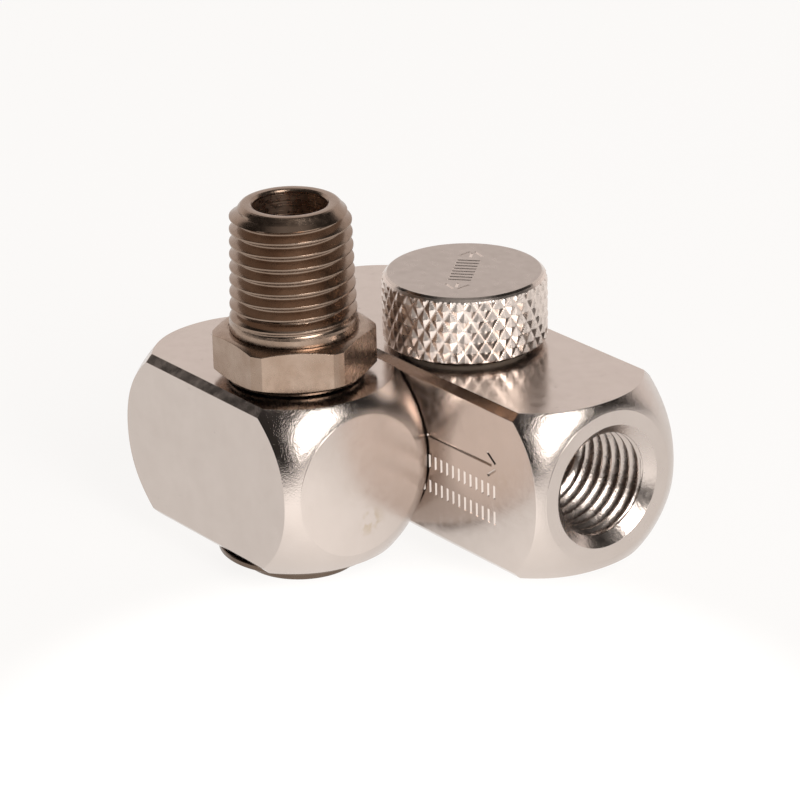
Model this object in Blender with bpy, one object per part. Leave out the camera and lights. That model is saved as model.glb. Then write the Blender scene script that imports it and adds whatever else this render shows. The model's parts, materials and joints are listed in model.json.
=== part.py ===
"""Air-line swivel fitting with a rotary flow regulator.

Two blocks of square bar stand side by side. The swivel block (low Y) carries a hollow tool stem
with a male pipe thread, which turns about Z. A hollow spindle along Y joins it to the valve body
(high Y), so the two blocks turn against each other. The valve body has a female pipe thread at
its +X end and a knurled knob, whose plug with a cross hole throttles the air way along X.
The origin is the bottom centre of the whole fitting.
"""
import math

import bmesh
import bpy

MM = 0.001

# Square bar blocks
BAR = 19.05 * MM                  # height of the bar, 3/4 inch
BAR_WIDTH = 19.47 * MM            # its width, across both blocks
BAR_CHAMFER = 0.8 * MM            # leg of the chamfer on the long edges
BLOCK_GAP = 0.14 * MM             # air between the two blocks
SWIVEL_LENGTH = 31.0 * MM
VALVE_LENGTH = 51.6 * MM
SWIVEL_FACE_RADIUS = 8.0 * MM     # flat disc left in the middle of a turned end
VALVE_FACE_RADIUS = 8.55 * MM
END_SLOPE = 0.277                 # a turned end falls back by slope * d + curve * d * d,
END_CURVE = 0.155 / MM            # with d the distance outside the flat disc

# Where the axes lie. Ends and bores lie BAR / 2 inside the -Y faces, a little off the bar's middle
AXIS_HEIGHT = 12.3 * MM           # centre of both blocks above the lowest face
STEM_FROM_FRONT = 11.2 * MM       # stem axis behind the swivel block's +X end
SWIVEL_BACK = 3.15 * MM           # swivel block's -X end ahead of the valve body's -X end
PIVOT_FROM_STEM = 9.6 * MM
KNOB_FROM_PORT = 23.9 * MM        # knob axis behind the port face

# Clearances between pieces
RUN = 0.3 * MM                    # turning fits
SEAT = 0.2 * MM                   # pieces that rest on each other

# Pipe threads, 1/4 inch taper, 18 to the inch
PITCH = 25.4 / 18 * MM
THREAD_DEPTH = 0.95 * MM
TAPER = 1 / 32                    # growth of the radius for each unit of length
CREST_WIDTH = 0.12                # flats on crest and root, as parts of the pitch

# Tool stem
SHANK_RADIUS = 5.4 * MM
SHANK_END = -9.45 * MM            # heights of the stem are counted from the block centre
WAIST_RADIUS = 4.3 * MM
WAIST_HALF = 2.6 * MM
HEX_ACROSS_FLATS = 15.875 * MM    # 5/8 inch hexagon bar
HEX_TURNED_RADIUS = 8.8 * MM
HEX_LOW = 10.2 * MM
HEX_HIGH = 14.95 * MM
HEX_FACE_RADIUS = 7.6 * MM
HEX_CONE = math.radians(20)       # slope of the chamfers on the hexagon's corners
HEX_TURN = math.radians(-34)      # direction of one flat's normal
COLLAR_RADIUS = 6.95 * MM
THREAD_LOW = 15.8 * MM
THREAD_TOP_RADIUS = 6.5 * MM      # crest radius at the top of the male thread
STEM_TURNS = 8
LIP_LOW = 28.3 * MM
RIM_RADIUS = 5.3 * MM
STEM_TOP = 29.0 * MM
STEM_BORE_RADIUS = 4.0 * MM
STEM_BORE_FLOOR = 9.0 * MM
SHANK_BORE_RADIUS = 2.9 * MM
SHANK_BORE_FLOOR = -4.0 * MM
CROSS_HOLE_RADIUS = 1.7 * MM
SEAL_SECTION = 1.2 * MM           # thickness of the O-rings
SEAL_GROOVE = 1.7 * MM            # width of their grooves
STEM_SEAL_HEIGHT = 5.3 * MM

# Pieces under and over the swivel block
UPPER_WASHER_RADIUS = 7.4 * MM
LOWER_WASHER_RADIUS = 9.05 * MM
LOWER_WASHER_LOW = -10.35 * MM
SCREW_HEAD_RADIUS = 6.3 * MM
SCREW_RADIUS = 2.2 * MM
SCREW_TIP = -4.6 * MM
SCREW_HOLE_RADIUS = 2.5 * MM
END_SEAL_POCKET_RADIUS = 3.9 * MM
END_SEAL_POCKET_FLOOR = -8.1 * MM

# Pivot between the blocks, along Y
PIVOT_RADIUS = 4.2 * MM
PIVOT_BORE_RADIUS = 2.4 * MM
PIVOT_SWIVEL_END = 2.9 * MM       # spindle's end in the swivel block, from that block's centre
PIVOT_VALVE_END = -3.6 * MM       # spindle's end in the valve body, from that block's centre
PIVOT_HOLE_END = 3.2 * MM         # how far the holes run past the two block centres
PIVOT_SEAL_FROM_FACE = 4.6 * MM
SNAP_RING_FROM_FACE = 1.9 * MM
SNAP_RING_THICKNESS = 0.8 * MM
SNAP_RING_INNER = 3.85 * MM
SNAP_RING_OUTER = 4.9 * MM
RING_OPENING = math.radians(24)   # gap of a split ring
THRUST_OUTER = 7.0 * MM
THRUST_RECESS = 0.9 * MM
SEAT_SEAL_INNER = 2.9 * MM
SEAT_SEAL_OUTER = 4.1 * MM
SEAT_SEAL_THICKNESS = 0.7 * MM

# Port and air way of the valve body
PORT_MOUTH_RADIUS = 6.9 * MM
PORT_CREST_RADIUS = 5.75 * MM     # inner radius of the female thread at the port face
PORT_TURNS = 7
PORT_THREAD_START = 1.0 * MM      # depth at which the countersink meets the thread
PORT_DEPTH = 14.5 * MM
AIR_WAY_RADIUS = 3.0 * MM

# Regulator plug and knob
PLUG_RADIUS = 5.0 * MM
PLUG_HOLE_RADIUS = 2.6 * MM
PLUG_TURN = math.radians(131.7)   # direction of the cross hole: the valve is part open
PLUG_SHOULDER = 9.75 * MM
PLUG_BOTTOM = -9.2 * MM
PLUG_SEAL_HEIGHT = 4.7 * MM
NECK_RADIUS = 3.4 * MM
NECK_TOP = 15.0 * MM
PLUG_COUNTERBORE_RADIUS = 7.2 * MM
PLUG_COUNTERBORE_TOP = -7.0 * MM
PLUG_WASHER_THICKNESS = 0.55 * MM
CIRCLIP_THICKNESS = 0.6 * MM
CIRCLIP_INNER = 4.35 * MM
CIRCLIP_OUTER = 6.3 * MM
KNOB_RADIUS = 9.1 * MM
KNOB_LOW = 10.05 * MM
KNOB_TOP = 17.76 * MM
KNOB_TOP_CHAMFER = 0.6 * MM
KNOB_LOW_CHAMFER = 0.25 * MM
KNOB_RECESS_RADIUS = 7.4 * MM
KNOB_RECESS_TOP = 10.75 * MM
KNOB_WASHER_RADIUS = 7.1 * MM

# Facets around a turned piece, and the angle above which an edge is shown sharp
SHARP_EDGE = math.radians(30)
FINE = 48
ROUND = 24
SMALL = 20
SEAL_FACETS = 6

# Places that follow from the sizes above
NEAR_FACE = -BAR / 2              # -Y face of a block, from its axes
FAR_FACE = BAR_WIDTH - BAR / 2    # +Y face
SWIVEL_Y = -BLOCK_GAP / 2 - FAR_FACE
VALVE_Y = SWIVEL_Y + BAR_WIDTH + BLOCK_GAP
SWIVEL_X = -VALVE_LENGTH / 2 + SWIVEL_BACK + SWIVEL_LENGTH / 2
STEM_X = SWIVEL_X + SWIVEL_LENGTH / 2 - STEM_FROM_FRONT
PIVOT_X = STEM_X - PIVOT_FROM_STEM
PORT_X = VALVE_LENGTH / 2
KNOB_X = PORT_X - KNOB_FROM_PORT

LIE_ALONG_X = (0.0, math.pi / 2, 0.0)      # turns a piece made along Z to lie along X
LIE_ALONG_Y = (-math.pi / 2, 0.0, 0.0)     # turns a piece made along Z to lie along Y
COLOURS = {
    "nickel": ((0.76, 0.73, 0.69, 1.0), 0.16, 1.0),
    "dark_nickel": ((0.36, 0.30, 0.24, 1.0), 0.28, 1.0),
    "steel": ((0.56, 0.55, 0.53, 1.0), 0.32, 1.0),
    "spring_steel": ((0.25, 0.25, 0.26, 1.0), 0.35, 1.0),
    "brass": ((0.72, 0.55, 0.27, 1.0), 0.30, 1.0),
    "seal_rubber": ((0.03, 0.03, 0.03, 1.0), 0.60, 0.0),
    "white_acetal": ((0.82, 0.81, 0.77, 1.0), 0.45, 0.0),
}


def clear_scene():
    for old in list(bpy.data.objects):
        bpy.data.objects.remove(old, do_unlink=True)


def make_material(finish, piece_name):
    colour, roughness, metallic = COLOURS[finish]
    material = bpy.data.materials.new(f"{piece_name}_{finish}")
    material.use_nodes = True
    shader = material.node_tree.nodes["Principled BSDF"]
    shader.inputs["Base Color"].default_value = colour
    shader.inputs["Roughness"].default_value = roughness
    shader.inputs["Metallic"].default_value = metallic
    return material


def make_axis(name, place, parent=None):
    """An empty on a joint's axis, which carries the pieces that turn about it."""
    axis = bpy.data.objects.new(name, None)
    bpy.context.scene.collection.objects.link(axis)
    axis.empty_display_size = BAR
    put(axis, place, (0.0, 0.0, 0.0), parent)
    return axis


def put(piece, place, turn, parent):
    """Places a piece in the world; the parent empties are never turned, only moved."""
    offset = (0.0, 0.0, 0.0)
    if parent is not None:
        piece.parent = parent
        offset = parent["place"]
    piece.location = [world - base for world, base in zip(place, offset)]
    piece.rotation_euler = turn
    piece["place"] = place


def make_piece(name, mesh, finish, place, turn=(0.0, 0.0, 0.0), parent=None):
    piece = bpy.data.objects.new(name, mesh)
    bpy.context.scene.collection.objects.link(piece)
    mesh.materials.append(make_material(finish, name))
    mesh.shade_smooth()
    mesh.set_sharp_from_angle(angle=SHARP_EDGE)
    put(piece, place, turn, parent)
    return piece


def make_cutter(name, mesh, place, turn=(0.0, 0.0, 0.0), parent=None):
    cutter = bpy.data.objects.new(name, mesh)
    bpy.context.scene.collection.objects.link(cutter)
    cutter.display_type = "WIRE"
    cutter.hide_render = True
    put(cutter, place, turn, parent)
    return cutter


def combine(piece, operation, *others):
    for other in others:
        step = piece.modifiers.new(f"{operation.lower()}_{other.name}", "BOOLEAN")
        step.operation = operation
        step.solver = "EXACT"
        step.object = other


def mesh_from(name, points, faces):
    """A mesh whose faces all point outwards."""
    mesh = bpy.data.meshes.new(name)
    mesh.from_pydata(points, [], faces)
    shell = bmesh.new()
    shell.from_mesh(mesh)
    bmesh.ops.recalc_face_normals(shell, faces=shell.faces)
    shell.to_mesh(mesh)
    shell.free()
    return mesh


def circle_point(radius, angle, height):
    return (radius * math.cos(angle), radius * math.sin(angle), height)


def turned(name, outline, sides=ROUND):
    """A solid turned about Z from (radius, height) points.

    An outline that starts and ends at radius 0 gives a full piece. Any other outline is closed
    on itself and gives a ring.
    """
    points = []
    rings = []
    for radius, height in outline:
        count = 1 if radius == 0.0 else sides
        rings.append([len(points) + i for i in range(count)])
        points += [circle_point(radius, math.tau * i / sides, height) for i in range(count)]
    if outline[0][0] > 0.0:
        rings.append(rings[0])
    faces = []
    for low, high in zip(rings, rings[1:]):
        for i in range(sides):
            after = (i + 1) % sides
            corners = [low[i % len(low)], low[after % len(low)],
                       high[after % len(high)], high[i % len(high)]]
            faces.append(list(dict.fromkeys(corners)))
    return mesh_from(name, points, faces)


def rod(name, radius, low, high, sides=ROUND):
    return turned(name, [(0.0, low), (radius, low), (radius, high), (0.0, high)], sides)


def washer(name, inner, outer, low, high, sides=ROUND):
    return turned(name, [(inner, low), (outer, low), (outer, high), (inner, high)], sides)


def o_ring(name, outer_radius, section, height, sides=SMALL):
    """A ring of round section, seen as a circle of points turned about Z."""
    middle = outer_radius - section / 2
    turns = [math.tau * i / SEAL_FACETS for i in range(SEAL_FACETS)]
    outline = [(middle + section / 2 * math.cos(a), height + section / 2 * math.sin(a)) for a in turns]
    return turned(name, outline, sides)


def split_ring(name, inner, outer, low, high, sides=SMALL):
    """A flat spring ring with one opening, so that it can be spread into its groove."""
    corners = [(inner, low), (outer, low), (outer, high), (inner, high)]
    sweep = math.tau - RING_OPENING
    angles = [RING_OPENING / 2 + sweep * i / sides for i in range(sides + 1)]
    points = [circle_point(radius, angle, height) for angle in angles for radius, height in corners]
    faces = [[0, 1, 2, 3], [4 * sides + k for k in range(4)]]
    for i in range(sides):
        for k in range(4):
            near, far = 4 * i + k, 4 * i + (k + 1) % 4
            faces.append([near, far, far + 4, near + 4])
    return mesh_from(name, points, faces)


def thread_length(turns):
    """Height from the first to the last point of a helical thread."""
    return (turns + 0.5 + CREST_WIDTH) * PITCH


def threaded(name, lower, upper, start, turns, crest_radius, slope, sides=ROUND):
    """A full turned piece whose outside carries a right-hand thread above height start.

    Four rows of points follow the helix in each turn: both edges of the crest and of the root.
    Row i runs into row i + 4 after one turn. The thread grows out of its root over the first
    turn and sinks back over the last one. lower and upper are the outlines on either side.
    """
    phases = [0.0, CREST_WIDTH, 0.5, 0.5 + CREST_WIDTH]
    row_phase = [turn + phase for turn in range(turns) for phase in phases]
    rows = len(row_phase)
    crest_end = turns + CREST_WIDTH
    points = [(0.0, 0.0, lower[0][1]), (0.0, 0.0, upper[-1][1])]
    faces = []

    def add_ring(radius, height):
        points.extend(circle_point(radius, math.tau * j / sides, height) for j in range(sides))
        return list(range(len(points) - sides, len(points)))

    def join(low, high):
        for j in range(sides):
            after = (j + 1) % sides
            faces.append([low[j], low[after], high[after], high[j]])

    grid = []
    for i, phase in enumerate(row_phase):
        row = []
        for j in range(sides):
            along = phase + j / sides
            height = start + along * PITCH
            grown = max(0.0, min(1.0, along, crest_end - along))
            sunk = THREAD_DEPTH if i % 4 >= 2 else THREAD_DEPTH * (1.0 - grown)
            radius = crest_radius + slope * (height - start) - sunk
            row.append(len(points))
            points.append(circle_point(radius, math.tau * j / sides, height))
        grid.append(row)

    lower_rings = [add_ring(radius, height) for radius, height in lower[1:]]
    upper_rings = [add_ring(radius, height) for radius, height in upper[:-1]]
    for low, high in zip(lower_rings, lower_rings[1:]):
        join(low, high)
    for low, high in zip(upper_rings, upper_rings[1:]):
        join(low, high)
    for j in range(sides):
        after = (j + 1) % sides
        faces.append([0, lower_rings[0][after], lower_rings[0][j]])
        faces.append([1, upper_rings[-1][j], upper_rings[-1][after]])

    last = sides - 1
    for i in range(rows - 1):
        for j in range(last):
            faces.append([grid[i][j], grid[i][j + 1], grid[i + 1][j + 1], grid[i + 1][j]])
        if i + 5 < rows:
            faces.append([grid[i][last], grid[i + 4][0], grid[i + 5][0], grid[i + 1][last]])
    below, above = lower_rings[-1], upper_rings[0]
    for j in range(last):
        faces.append([below[j], below[j + 1], grid[0][j + 1], grid[0][j]])
        faces.append([grid[-1][j], grid[-1][j + 1], above[j + 1], above[j]])
    step_up = [below[0]] + [grid[i][0] for i in range(5)] + [grid[0][last]]
    for one, two in zip(step_up, step_up[1:]):
        faces.append([below[last], one, two])
    step_down = [grid[rows - 5][last]] + [grid[i][last] for i in range(rows - 4, rows)] + [above[last]]
    fan = [grid[rows - 1][0]] + step_down
    for one, two in zip(fan, fan[1:]):
        faces.append([above[0], one, two])
    return mesh_from(name, points, faces)


def square_bar(name, length):
    """A piece of bar along X with chamfered long edges; the X axis is the axis of its bores."""
    half = BAR / 2
    inner = half - BAR_CHAMFER
    far, near = FAR_FACE - BAR_CHAMFER, NEAR_FACE + BAR_CHAMFER
    section = [(FAR_FACE, -inner), (FAR_FACE, inner), (far, half), (near, half),
               (NEAR_FACE, inner), (NEAR_FACE, -inner), (near, -half), (far, -half)]
    points = [(x, y, z) for x in (-length / 2, length / 2) for y, z in section]
    count = len(section)
    faces = [list(range(count)), list(range(count, 2 * count))]
    faces += [[i, (i + 1) % count, count + (i + 1) % count, count + i] for i in range(count)]
    return mesh_from(name, points, faces)


def turned_ends(name, length, face_radius):
    """The round envelope that a lathe leaves: a flat disc, then a curve back to the corners."""
    steps = 6
    corner_radius = math.hypot(BAR / 2, FAR_FACE)
    arc = []
    for i in range(steps + 1):
        outside = (corner_radius - face_radius) * i / steps
        setback = END_SLOPE * outside + END_CURVE * outside ** 2
        arc.append((face_radius + outside, length / 2 - setback))
    outline = [(0.0, -length / 2)] + [(radius, -height) for radius, height in arc]
    outline += [(radius, height) for radius, height in reversed(arc)] + [(0.0, length / 2)]
    return turned(name, outline, FINE)


def groove(radius, floor, middle, width):
    """Outline points of a rectangular groove in a shaft, from its low side to its high side."""
    low, high = middle - width / 2, middle + width / 2
    return [(radius, low), (floor, low), (floor, high), (radius, high)]


def seal_floor(bore_radius):
    """Radius of a groove's floor that leaves the seal its seat."""
    return bore_radius - SEAT - SEAL_SECTION - SEAT


def make_swivel_block(pivot):
    """Block that holds the tool stem; its two bores meet, which lets the air through."""
    place = (SWIVEL_X, SWIVEL_Y, AXIS_HEIGHT)
    bar = square_bar("swivel_block", SWIVEL_LENGTH)
    block = make_piece("swivel_block", bar, "nickel", place, parent=pivot)
    ends = turned_ends("cut_swivel_ends", SWIVEL_LENGTH, SWIVEL_FACE_RADIUS)
    envelope = make_cutter("cut_swivel_ends", ends, place, LIE_ALONG_X, pivot)
    stem_rod = rod("cut_stem_hole", SHANK_RADIUS + RUN, -BAR, BAR, ROUND)
    stem_hole = make_cutter("cut_stem_hole", stem_rod, (STEM_X, SWIVEL_Y, AXIS_HEIGHT), parent=pivot)
    hole_radius = PIVOT_RADIUS + RUN
    ring_middle = FAR_FACE - SNAP_RING_FROM_FACE
    ring_room = SNAP_RING_THICKNESS + 2 * SEAT
    outline = [(0.0, -PIVOT_HOLE_END), (hole_radius, -PIVOT_HOLE_END)]
    outline += groove(hole_radius, SNAP_RING_OUTER + SEAT, ring_middle, ring_room)
    outline += [(hole_radius, BAR), (0.0, BAR)]
    pivot_hole = make_cutter("cut_swivel_pivot_hole", turned("cut_swivel_pivot_hole", outline),
                             (PIVOT_X, SWIVEL_Y, AXIS_HEIGHT), LIE_ALONG_Y, pivot)
    combine(block, "INTERSECT", envelope)
    combine(block, "DIFFERENCE", stem_hole, pivot_hole)


def make_hexagon(stem):
    """Hexagon of the stem, turned to a round with a chamfer cone at both faces."""
    middle = (HEX_LOW + HEX_HIGH) / 2
    half = (HEX_HIGH - HEX_LOW) / 2
    corner = HEX_ACROSS_FLATS / math.sqrt(3)
    hexagon = rod("hexagon_bar", corner, -half, half, 6)
    drop = (HEX_TURNED_RADIUS - HEX_FACE_RADIUS) * math.tan(HEX_CONE)
    first_corner = HEX_TURN + math.pi / 6
    outline = [(0.0, -half), (HEX_FACE_RADIUS, -half), (HEX_TURNED_RADIUS, drop - half),
               (HEX_TURNED_RADIUS, half - drop), (HEX_FACE_RADIUS, half), (0.0, half)]
    place = (STEM_X, SWIVEL_Y, AXIS_HEIGHT + middle)
    cones = turned("cut_hexagon_round", outline, FINE)
    round_off = make_cutter("cut_hexagon_round", cones, place, parent=stem)
    body = make_cutter("hexagon_bar", hexagon, place, (0.0, 0.0, first_corner), stem)
    combine(body, "INTERSECT", round_off)
    return body


def make_tool_stem(stem):
    """Hollow stem: tapered male pipe thread, hexagon, and a sealed shank with cross holes."""
    place = (STEM_X, SWIVEL_Y, AXIS_HEIGHT)
    thread_high = THREAD_LOW + thread_length(STEM_TURNS)
    root_radius = THREAD_TOP_RADIUS - THREAD_DEPTH
    low_crest = THREAD_TOP_RADIUS + TAPER * (thread_high - THREAD_LOW)
    floor = seal_floor(SHANK_RADIUS + RUN)
    lower = [(0.0, SHANK_END), (SHANK_RADIUS, SHANK_END)]
    lower += groove(SHANK_RADIUS, floor, -STEM_SEAL_HEIGHT, SEAL_GROOVE)
    lower += groove(SHANK_RADIUS, WAIST_RADIUS, 0.0, 2 * WAIST_HALF)
    lower += groove(SHANK_RADIUS, floor, STEM_SEAL_HEIGHT, SEAL_GROOVE)
    lower += [(SHANK_RADIUS, HEX_LOW + SEAT), (COLLAR_RADIUS, HEX_LOW + SEAT),
              (COLLAR_RADIUS, THREAD_LOW - SEAT), (low_crest - THREAD_DEPTH, THREAD_LOW)]
    upper = [(root_radius, LIP_LOW), (RIM_RADIUS, STEM_TOP), (0.0, STEM_TOP)]
    mesh = threaded("tool_stem", lower, upper, THREAD_LOW + SEAT, STEM_TURNS, low_crest, -TAPER)
    piece = make_piece("tool_stem", mesh, "dark_nickel", place, parent=stem)
    bore = [(0.0, -BAR), (END_SEAL_POCKET_RADIUS, -BAR), (END_SEAL_POCKET_RADIUS, END_SEAL_POCKET_FLOOR),
            (SCREW_HOLE_RADIUS, END_SEAL_POCKET_FLOOR), (SCREW_HOLE_RADIUS, SHANK_BORE_FLOOR),
            (SHANK_BORE_RADIUS, SHANK_BORE_FLOOR), (SHANK_BORE_RADIUS, STEM_BORE_FLOOR),
            (STEM_BORE_RADIUS, STEM_BORE_FLOOR + STEM_BORE_RADIUS - SHANK_BORE_RADIUS),
            (STEM_BORE_RADIUS, STEM_TOP - SEAT), (STEM_BORE_RADIUS + 3 * SEAT, STEM_TOP + 2 * SEAT),
            (0.0, STEM_TOP + 2 * SEAT)]
    bore_cut = make_cutter("cut_stem_bore", turned("cut_stem_bore", bore), place, parent=stem)
    cross_mesh = rod("cut_cross_hole", CROSS_HOLE_RADIUS, -BAR / 2, BAR / 2, SMALL)
    cross_cuts = [make_cutter("cut_cross_hole_x", cross_mesh, place, LIE_ALONG_X, stem),
                  make_cutter("cut_cross_hole_y", cross_mesh, place, LIE_ALONG_Y, stem)]
    combine(piece, "UNION", make_hexagon(stem))
    combine(piece, "DIFFERENCE", bore_cut, *cross_cuts)


def make_stem_fittings(stem):
    """Washers, end screw and seals that turn with the stem."""
    place = (STEM_X, SWIVEL_Y, AXIS_HEIGHT)
    top = BAR / 2
    upper = washer("stem_upper_washer", SHANK_RADIUS + RUN, UPPER_WASHER_RADIUS,
                   top + SEAT, HEX_LOW - SEAT)
    make_piece("stem_upper_washer", upper, "steel", place, parent=stem)
    lower = washer("stem_lower_washer", SCREW_HOLE_RADIUS, LOWER_WASHER_RADIUS,
                   LOWER_WASHER_LOW, -top - SEAT, FINE)
    make_piece("stem_lower_washer", lower, "dark_nickel", place, parent=stem)
    head_top = LOWER_WASHER_LOW - SEAT
    chamfer = 2 * SEAT
    screw = [(0.0, -AXIS_HEIGHT), (SCREW_HEAD_RADIUS - chamfer, -AXIS_HEIGHT),
             (SCREW_HEAD_RADIUS, chamfer - AXIS_HEIGHT), (SCREW_HEAD_RADIUS, head_top),
             (SCREW_RADIUS, head_top), (SCREW_RADIUS, SCREW_TIP), (0.0, SCREW_TIP)]
    make_piece("stem_end_screw", turned("stem_end_screw", screw, FINE), "dark_nickel", place, parent=stem)
    bore_radius = SHANK_RADIUS + RUN
    for side, height in (("upper", STEM_SEAL_HEIGHT), ("lower", -STEM_SEAL_HEIGHT)):
        name = f"stem_{side}_o_ring"
        ring = o_ring(name, bore_radius - SEAT, SEAL_SECTION, height)
        make_piece(name, ring, "seal_rubber", place, parent=stem)
    pocket_middle = (END_SEAL_POCKET_FLOOR + SHANK_END) / 2
    seal_section = END_SEAL_POCKET_FLOOR - SHANK_END - 2 * SEAT
    seal = o_ring("stem_end_seal", END_SEAL_POCKET_RADIUS - SEAT, seal_section, pocket_middle)
    make_piece("stem_end_seal", seal, "seal_rubber", place, parent=stem)


def make_valve_body():
    """Longer block with the female pipe thread, the plug's bore and the air way between them."""
    place = (0.0, VALVE_Y, AXIS_HEIGHT)
    body = make_piece("valve_body", square_bar("valve_body", VALVE_LENGTH), "nickel", place)
    ends = turned_ends("cut_valve_ends", VALVE_LENGTH, VALVE_FACE_RADIUS)
    envelope = make_cutter("cut_valve_ends", ends, place, LIE_ALONG_X)
    thread_start = -PORT_THREAD_START - thread_length(PORT_TURNS)
    tap_radius = PORT_CREST_RADIUS + TAPER * thread_start
    lower = [(0.0, -PORT_DEPTH), (tap_radius, -PORT_DEPTH), (tap_radius, thread_start - SEAT)]
    upper = [(PORT_CREST_RADIUS, -PORT_THREAD_START), (PORT_MOUTH_RADIUS, 0.0),
             (PORT_MOUTH_RADIUS, BAR), (0.0, BAR)]
    port = threaded("cut_port", lower, upper, thread_start, PORT_TURNS, tap_radius + THREAD_DEPTH, TAPER)
    port_cut = make_cutter("cut_port", port, (PORT_X, VALVE_Y, AXIS_HEIGHT), LIE_ALONG_X)
    way_length = PORT_X - PORT_DEPTH - PIVOT_X + SEAT
    way = rod("cut_air_way", AIR_WAY_RADIUS, 0.0, way_length)
    way_cut = make_cutter("cut_air_way", way, (PIVOT_X, VALVE_Y, AXIS_HEIGHT), LIE_ALONG_X)
    bore = [(0.0, -BAR), (PLUG_COUNTERBORE_RADIUS, -BAR), (PLUG_COUNTERBORE_RADIUS, PLUG_COUNTERBORE_TOP),
            (PLUG_RADIUS + RUN, PLUG_COUNTERBORE_TOP), (PLUG_RADIUS + RUN, BAR), (0.0, BAR)]
    plug_cut = make_cutter("cut_plug_bore", turned("cut_plug_bore", bore), (KNOB_X, VALVE_Y, AXIS_HEIGHT))
    recess = NEAR_FACE + THRUST_RECESS
    hole = [(0.0, -BAR), (THRUST_OUTER + RUN, -BAR), (THRUST_OUTER + RUN, recess),
            (PIVOT_RADIUS + RUN, recess), (PIVOT_RADIUS + RUN, PIVOT_HOLE_END), (0.0, PIVOT_HOLE_END)]
    pivot_cut = make_cutter("cut_valve_pivot_hole", turned("cut_valve_pivot_hole", hole),
                            (PIVOT_X, VALVE_Y, AXIS_HEIGHT), LIE_ALONG_Y)
    combine(body, "INTERSECT", envelope)
    combine(body, "DIFFERENCE", port_cut, plug_cut, pivot_cut, way_cut)


def make_pivot():
    """Hollow spindle fixed in the valve body, and the rings and seals that it carries."""
    place = (PIVOT_X, 0.0, AXIS_HEIGHT)
    low = SWIVEL_Y + PIVOT_SWIVEL_END
    high = VALVE_Y + PIVOT_VALVE_END
    swivel_face = SWIVEL_Y + FAR_FACE
    valve_face = VALVE_Y + NEAR_FACE
    bore_radius = PIVOT_RADIUS + RUN
    seal_middle = swivel_face - PIVOT_SEAL_FROM_FACE
    ring_middle = swivel_face - SNAP_RING_FROM_FACE
    seal_size = SEAL_SECTION - SEAT
    outline = [(PIVOT_BORE_RADIUS, low), (PIVOT_RADIUS, low)]
    outline += groove(PIVOT_RADIUS, bore_radius - 2 * SEAT - seal_size, seal_middle, SEAL_GROOVE - SEAT)
    outline += groove(PIVOT_RADIUS, SNAP_RING_INNER - SEAT, ring_middle, SNAP_RING_THICKNESS + 2 * SEAT)
    outline += [(PIVOT_RADIUS, high), (PIVOT_BORE_RADIUS, high)]
    make_piece("pivot_spindle", turned("pivot_spindle", outline), "steel", place, LIE_ALONG_Y)
    seal = o_ring("pivot_o_ring", bore_radius - SEAT, seal_size, seal_middle)
    make_piece("pivot_o_ring", seal, "seal_rubber", place, LIE_ALONG_Y)
    half = SNAP_RING_THICKNESS / 2
    ring = split_ring("pivot_snap_ring", SNAP_RING_INNER, SNAP_RING_OUTER,
                      ring_middle - half, ring_middle + half)
    make_piece("pivot_snap_ring", ring, "spring_steel", place, LIE_ALONG_Y)
    thrust = washer("pivot_thrust_washer", bore_radius, THRUST_OUTER, swivel_face + SEAT,
                    valve_face + THRUST_RECESS - SEAT)
    make_piece("pivot_thrust_washer", thrust, "white_acetal", place, LIE_ALONG_Y)
    seat = washer("pivot_seat_seal", SEAT_SEAL_INNER, SEAT_SEAL_OUTER, high + SEAT,
                  high + SEAT + SEAT_SEAL_THICKNESS, SMALL)
    make_piece("pivot_seat_seal", seat, "seal_rubber", place, LIE_ALONG_Y)


def make_valve_plug(knob):
    """Rotary plug: its cross hole lines up with the air way when the valve is open."""
    place = (KNOB_X, VALVE_Y, AXIS_HEIGHT)
    floor = seal_floor(PLUG_RADIUS + RUN)
    clip_middle = PLUG_COUNTERBORE_TOP - 2 * SEAT - PLUG_WASHER_THICKNESS - CIRCLIP_THICKNESS / 2
    outline = [(0.0, PLUG_BOTTOM), (PLUG_RADIUS, PLUG_BOTTOM)]
    outline += groove(PLUG_RADIUS, CIRCLIP_INNER - SEAT, clip_middle, CIRCLIP_THICKNESS + 2 * SEAT)
    outline += groove(PLUG_RADIUS, floor, -PLUG_SEAL_HEIGHT, SEAL_GROOVE)
    outline += groove(PLUG_RADIUS, floor, PLUG_SEAL_HEIGHT, SEAL_GROOVE)
    outline += [(PLUG_RADIUS, PLUG_SHOULDER), (NECK_RADIUS, PLUG_SHOULDER),
                (NECK_RADIUS, NECK_TOP), (0.0, NECK_TOP)]
    plug = make_piece("valve_plug", turned("valve_plug", outline), "brass", place, parent=knob)
    hole = make_cutter("cut_plug_hole", rod("cut_plug_hole", PLUG_HOLE_RADIUS, -BAR / 2, BAR / 2), place,
                       (0.0, math.pi / 2, PLUG_TURN), knob)
    combine(plug, "DIFFERENCE", hole)
    for side, height in (("upper", PLUG_SEAL_HEIGHT), ("lower", -PLUG_SEAL_HEIGHT)):
        name = f"plug_{side}_o_ring"
        ring = o_ring(name, PLUG_RADIUS + RUN - SEAT, SEAL_SECTION, height)
        make_piece(name, ring, "seal_rubber", place, parent=knob)
    washer_high = PLUG_COUNTERBORE_TOP - SEAT
    bottom = washer("plug_bottom_washer", PLUG_RADIUS + RUN, PLUG_COUNTERBORE_RADIUS - RUN,
                    washer_high - PLUG_WASHER_THICKNESS, washer_high)
    make_piece("plug_bottom_washer", bottom, "steel", place, parent=knob)
    half = CIRCLIP_THICKNESS / 2
    clip = split_ring("plug_retaining_ring", CIRCLIP_INNER, CIRCLIP_OUTER,
                      clip_middle - half, clip_middle + half)
    make_piece("plug_retaining_ring", clip, "spring_steel", place, parent=knob)


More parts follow.
